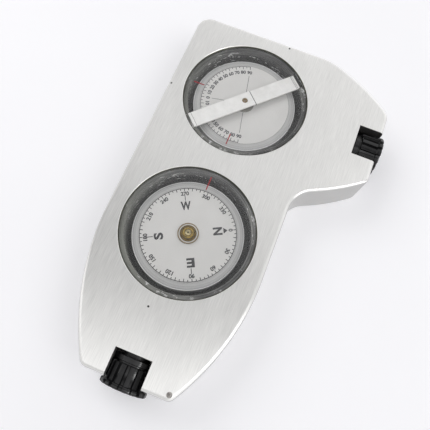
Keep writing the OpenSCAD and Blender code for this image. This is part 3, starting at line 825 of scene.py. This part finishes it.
def ink_levels(node, look):
    """The printing's lower level, just inside the dial, and its upper level, in mm."""
    top = top_of(node) / MM
    return top - look.thickness / 2, top + look.thickness


def on_dial(parts, axis, name, ink, body):
    """Joins the parts of one dial's printing and moves them onto its axis."""
    points, faces = joined(parts)
    points[:, :2] += np.array(axis) / MM
    new_piece(name, points, faces, ink, body, sharp=20)


class CLINO_OT_body(bpy.types.Operator):
    """Brushed body and the lanyard pin"""

    bl_idname = "clinometer.body"
    bl_label = "Body"

    def execute(self, context):
        look = context.scene.clinometer_body
        points, faces = merged("body")
        shell = new_piece("body_shell", points, faces, brushed_aluminium(look),
                          "housing", sharp=30, replaces=["body"])
        weighted = shell.modifiers.new("flat faces stay flat", "WEIGHTED_NORMAL")
        weighted.keep_sharp = True
        weighted.weight = 90
        dress(plain_finish("pin_steel", (0.28, 0.265, 0.25), metallic=1, rough=0.35,
                           variation=0.6, grain=0.12),
              "lanyard_pin")
        return {"FINISHED"}


class CLINO_OT_capsules(bpy.types.Operator):
    """Windows, walls, floors and red lines of the two capsules"""

    bl_idname = "clinometer.capsules"
    bl_label = "Capsules"

    def execute(self, context):
        look = context.scene.clinometer_capsule
        dress(clear_finish("window_clear", look.refraction),
              "compass_window", "clinometer_window")
        dress(streaky_wall("compass", look, 1.0), "compass_capsule_cup")
        dress(streaky_wall("clinometer", look, 0.7), "clinometer_capsule_cup")
        dress(plain_finish("floor_black", (0.016, 0.016, 0.017)),
              "compass_base_plate", "clinometer_base_plate")
        dress(plain_finish("plug_grey", (0.12, 0.12, 0.12), rough=0.45),
              "compass_filler_plug", "clinometer_filler_plug")
        dress(plain_finish("bedding_black", (0.03, 0.03, 0.03), rough=0.8),
              "compass_bedding_ring", "clinometer_bedding_ring")
        dress(plain_finish("line_red", look.line_colour, rough=0.4, variation=0.15),
              "compass_index_line", "clinometer_index_lines")
        return {"FINISHED"}


class CLINO_OT_movements(bpy.types.Operator):
    """Cards, hubs, bearings, bridge, magnets and weight"""

    bl_idname = "clinometer.movements"
    bl_label = "Movements"

    def execute(self, context):
        look = context.scene.clinometer_print
        dress(turned_card("compass_card_rim", COMPASS_AXIS), "compass_card")
        dress(turned_card("clinometer_card_rim", CLINOMETER_AXIS), "clinometer_card")
        dress(plain_finish("dial_white", look.face_colour, variation=0.03, grain=1.2),
              "compass_dial_face", "clinometer_dial_face")
        dress(turned_brass(), "compass_brass_cup")
        dress(plain_finish("dull_brass", (0.26, 0.18, 0.06), metallic=1, rough=0.3,
                           variation=0.3, grain=0.3),
              "compass_pivot_post", "clinometer_rear_bearing", "clinometer_weight")
        dress(plain_finish("hub_ring_brown", (0.17, 0.11, 0.04), metallic=0.4, rough=0.4),
              "compass_hub_ring", "clinometer_front_bearing")
        dress(plain_finish("hub_cream", (0.66, 0.655, 0.62), rough=0.15, grain=0.4,
                           coat=0.6),
              "compass_hub")
        dress(plain_finish("hub_smoky", (0.25, 0.245, 0.22), rough=0.2, grain=0.4,
                           coat=0.4),
              "clinometer_hub")
        dress(clear_finish("jewel_red", 1.76, (0.85, 0.2, 0.3)), "compass_jewel")
        dress(plain_finish("magnet_grey", (0.20, 0.21, 0.22), metallic=1, rough=0.4),
              "compass_magnets")
        dress(bent_strip(), "clinometer_bridge")
        dress(plain_finish("axle_steel", (0.30, 0.28, 0.25), metallic=1, rough=0.25),
              "clinometer_axle")
        return {"FINISHED"}


class CLINO_OT_compass_print(bpy.types.Operator):
    """Scale, numbers, letters and north mark of the compass dial"""

    bl_idname = "clinometer.compass_print"
    bl_label = "Compass printing"

    def execute(self, context):
        look = context.scene.clinometer_print
        ink = plain_finish("dial_ink", look.ink_colour)
        levels = ink_levels("compass_dial_face", look)
        bearings = np.arange(0, 360, 5)
        parts = scale_marks(COMPASS_SCALE, bearings, NORTH - bearings, 0, 360,
                            look.tick_width, levels)
        for bearing in range(0, 360, 30):
            angle = NORTH - bearing
            number = lettering(str(bearing), look.number_height, NUMBER_BOLD, levels)
            parts.append(set_out(number, COMPASS_SCALE["numbers"], angle, angle - 90))
        for letter, bearing, width in LETTERS:
            angle = NORTH - bearing
            sign = lettering(letter, look.letter_height, LETTER_BOLD, levels, width)
            parts.append(set_out(sign, LETTER_RADIUS, angle, angle - 90))
        parts.append(bars(*LETTER_LINES, NORTH - np.array([90, 180, 270]),
                          look.tick_width, levels))
        corners = ((-ARROW_HALF_WIDTH, -ARROW_HALF_LENGTH),
                   (ARROW_HALF_WIDTH, -ARROW_HALF_LENGTH), (0.0, ARROW_HALF_LENGTH))
        arrow = np.array([[x, y, level] for level in levels for x, y in corners])
        sides = [[2, 1, 0], [3, 4, 5], [0, 1, 4, 3], [1, 2, 5, 4], [2, 0, 3, 5]]
        parts.append(set_out((arrow, sides), ARROW_RADIUS, NORTH, NORTH - 90))
        on_dial(parts, COMPASS_AXIS, "compass_printing", ink, "compass_rotor")
        return {"FINISHED"}


class CLINO_OT_clinometer_print(bpy.types.Operator):
    """Scale, numbers and lines of the clinometer dial"""

    bl_idname = "clinometer.clinometer_print"
    bl_label = "Clinometer printing"

    def execute(self, context):
        look = context.scene.clinometer_print
        ink = plain_finish("scale_ink", shade(look.ink_colour, 1.2))
        levels = ink_levels("clinometer_dial_face", look)
        marks, scale_width = np.arange(-90, 91, 5), 1.4 * look.line_width
        parts = scale_marks(CLINOMETER_SCALE, marks, LEVEL + marks, LEVEL - 90,
                            LEVEL + 90, scale_width, levels)
        parts.append(bars(*LEVEL_LINES, LEVEL + np.array([-90, 0, 90]), look.line_width,
                          levels))
        for mark in range(-90, 91, 10):
            angle = LEVEL + mark
            number = lettering(str(abs(mark)), look.number_height, NUMBER_BOLD, levels)
            turn = angle - 90 if mark <= 0 else angle + 90
            parts.append(set_out(number, CLINOMETER_SCALE["numbers"], angle, turn))
        on_dial(parts, CLINOMETER_AXIS, "clinometer_printing", ink, "clinometer_rotor")
        return {"FINISHED"}


def ribbed_ring(look):
    """The profile turned round its axis. At a column the radius is the profile's less
    the profile's groove share times the groove's depth times the fullness times 1 minus
    the squared distance from the groove's middle over half its width, where the fullness
    times that is kept within 0 and 1. The grooves' middles are a rib's pitch apart, the
    first at angle 0."""
    columns = look.rib_count * POINTS_PER_RIB
    angle = np.arange(columns) * TAU / columns
    half_pitch = TAU / look.rib_count / 2
    off_middle = np.abs((angle + half_pitch) % (2 * half_pitch) - half_pitch)
    away = off_middle * BARREL_RADIUS / (look.groove_width / 2)
    groove = look.groove_depth * np.clip(GROOVE_FULLNESS * (1 - away ** 2), 0, 1)
    forward, radius, share = RING_PROFILE.T[:, :, None]
    reach = radius - share * groove
    points = np.stack([reach * np.cos(angle), reach * np.sin(angle),
                       np.broadcast_to(forward, reach.shape)], axis=-1)
    return points.reshape(-1, 3), grid_faces(len(RING_PROFILE), columns)


def along_axis(points, outward, place):
    """Turns points drawn round Z so that +Z runs outward and Y stays up, and moves
    their origin to a place in millimetres."""
    up = np.array([0.0, 0.0, 1.0])
    aside = np.cross(up, outward)
    return points @ np.stack([aside, up, outward]) + place


class CLINO_OT_eyepieces(bpy.types.Operator):
    """Ribbed focus rings, lens tubes, lenses and sighting windows"""

    bl_idname = "clinometer.eyepieces"
    bl_label = "Eyepieces"

    def execute(self, context):
        look = context.scene.clinometer_eyepiece
        black = ribbed_plastic(look)
        shape, faces = ribbed_ring(look)
        for side in ("compass", "clinometer"):
            joint = JOINTS[side + "_focus_turn"]
            outward = np.array(joint["axis"], float)
            low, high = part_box(side + "_focus_ring")
            end = np.where(outward > 0, np.array(high), np.array(low))
            place = np.where(outward == 0, np.array(joint["pos_m"]), end)
            new_piece(side + "_ribbed_ring", along_axis(shape, outward, place / MM),
                      faces, black, side + "_eyepiece", sharp=42,
                      replaces=[side + "_focus_ring"])
        dress(plain_finish("tube_black", (0.012, 0.012, 0.012), rough=0.35, metallic=0.3),
              "compass_lens_tube", "clinometer_lens_tube",
              "compass_lens_retainer", "clinometer_lens_retainer")
        dress(plain_finish("seal_black", (0.01, 0.01, 0.01), rough=0.6),
              "compass_tube_seal", "clinometer_tube_seal")
        dress(clear_finish("lens_glass", 1.52), "compass_eye_lens", "clinometer_eye_lens",
              "compass_reticle", "clinometer_reticle")
        return {"FINISHED"}


def lay_floor(look):
    """The pale floor, whose own light is for camera, mirror and transmitted rays."""
    corners = np.array([[-1, -1, 0], [1, -1, 0], [1, 1, 0], [-1, 1, 0]]) * FLOOR_HALF * MM
    mesh = bpy.data.meshes.new("floor")
    mesh.from_pydata(corners.tolist(), [], [(0, 1, 2, 3)])
    floor = bpy.data.objects.new("floor", mesh)
    bpy.context.scene.collection.objects.link(floor)
    f = Finish("pale_floor")
    tone = f.noise((60 * MM,) * 3, detail=2)
    f.colour(f.ramp(tone, [(0.3, shade(look.floor_colour, -0.01)),
                           (0.7, shade(look.floor_colour, 0.01))]))
    seen = f.rays("Glossy", "Camera", "Transmission")
    f.link(f.math("MULTIPLY", seen, look.floor_glow),
           f.shader.inputs["Emission Strength"])
    f.set(Roughness=0.8, Emission_Color=(0.99, 0.99, 1.0, 1))
    mesh.materials.append(f.material)


def hang_sky(look):
    """The surroundings that metal mirrors, from the two sets of bands. Matt surfaces get
    a share of their light, and the camera and clear pieces see white."""
    world = bpy.data.worlds.new("soft sky")
    world.use_nodes = True
    bpy.context.scene.world = world
    sky = Nodes(world.node_tree)
    background = sky.tree.nodes["Background"]
    x, y, _ = sky.split(sky.add("ShaderNodeTexCoord").outputs["Generated"])
    bands = [sky.ramp(sky.span(way, 0, 1, start=-1.0),
                      [((toward + 1) / 2, (level, level, level * SKY_BLUE))
                       for toward, level in levels])
             for way, levels in ((y, SKY_ALONG_Y), (x, SKY_ALONG_X))]
    around = sky.mix(1.0, *bands, blend="ADD")
    seen = sky.mix(sky.rays("Camera", "Transmission"), around, (1.0, 1.0, 1.0))
    sky.link(seen, background.inputs["Color"])
    sky.link(sky.span(sky.rays("Diffuse"), look.sky_level,
                      look.sky_level * look.matt_share),
             background.inputs["Strength"])


def hang_lamp(name, place, width, height, power, gloss_only):
    """A rectangular lamp that faces the origin."""
    data = bpy.data.lights.new(name, "AREA")
    data.shape = "RECTANGLE"
    data.size, data.size_y = width * MM, height * MM
    data.energy = power
    lamp = bpy.data.objects.new(name, data)
    x, y, z = np.array(place) / np.linalg.norm(place)
    lamp.location = [value * MM for value in place]
    lamp.rotation_euler = (math.acos(z), 0, math.atan2(x, -y))
    lamp.visible_glossy = gloss_only
    lamp.visible_diffuse = not gloss_only
    bpy.context.scene.collection.objects.link(lamp)


def place_camera():
    """The camera at the photograph's viewing angle."""
    data = bpy.data.cameras.new("camera")
    data.sensor_width = 36.0
    data.lens = CAMERA_LENS
    data.clip_start = 0.005
    camera = bpy.data.objects.new("camera", data)
    camera.location = [value * MM for value in CAMERA_PLACE]
    camera.rotation_euler = [math.radians(value) for value in CAMERA_TURN]
    bpy.context.scene.collection.objects.link(camera)
    bpy.context.scene.camera = camera


class CLINO_OT_stage(bpy.types.Operator):
    """Pale floor, soft lamps, white background and the photograph's camera"""

    bl_idname = "clinometer.stage"
    bl_label = "Stage"

    def execute(self, context):
        look = context.scene.clinometer_stage
        context.scene.view_settings.view_transform = "Standard"
        lay_floor(look)
        hang_sky(look)
        for name, place, width, height, power, gloss_only in LAMPS:
            hang_lamp(name, place, width, height, getattr(look, power), gloss_only)
        place_camera()
        return {"FINISHED"}


GROUPS = (("clinometer_body", BodyFinish), ("clinometer_capsule", CapsuleFinish),
          ("clinometer_print", DialPrint), ("clinometer_eyepiece", EyepieceForm),
          ("clinometer_stage", StageLight))
OPERATORS = (CLINO_OT_stage, CLINO_OT_body, CLINO_OT_capsules, CLINO_OT_movements,
             CLINO_OT_compass_print, CLINO_OT_clinometer_print, CLINO_OT_eyepieces)


class CLINO_PT_panel(bpy.types.Panel):
    """Buttons that make the pieces, and their settings"""

    bl_idname = "CLINO_PT_panel"
    bl_label = "Compass clinometer"
    bl_space_type = "VIEW_3D"
    bl_region_type = "UI"
    bl_category = "Clinometer"

    def draw(self, context):
        for operator in OPERATORS:
            self.layout.operator(operator.bl_idname)
        for name, group in GROUPS:
            box = self.layout.box()
            box.label(text=group.__doc__.rstrip("."))
            for setting in group.__annotations__:
                box.prop(getattr(context.scene, name), setting)


def register():
    for name, group in GROUPS:
        bpy.utils.register_class(group)
        setattr(bpy.types.Scene, name, bpy.props.PointerProperty(type=group))
    for item in (*OPERATORS, CLINO_PT_panel):
        bpy.utils.register_class(item)


def unregister():
    for item in reversed((*OPERATORS, CLINO_PT_panel)):
        bpy.utils.unregister_class(item)
    for name, group in reversed(GROUPS):
        delattr(bpy.types.Scene, name)
        bpy.utils.unregister_class(group)


def main():
    register()
    for operator in OPERATORS:
        family, name = operator.bl_idname.split(".")
        getattr(getattr(bpy.ops, family), name)()


if __name__ == "__main__":
    main()
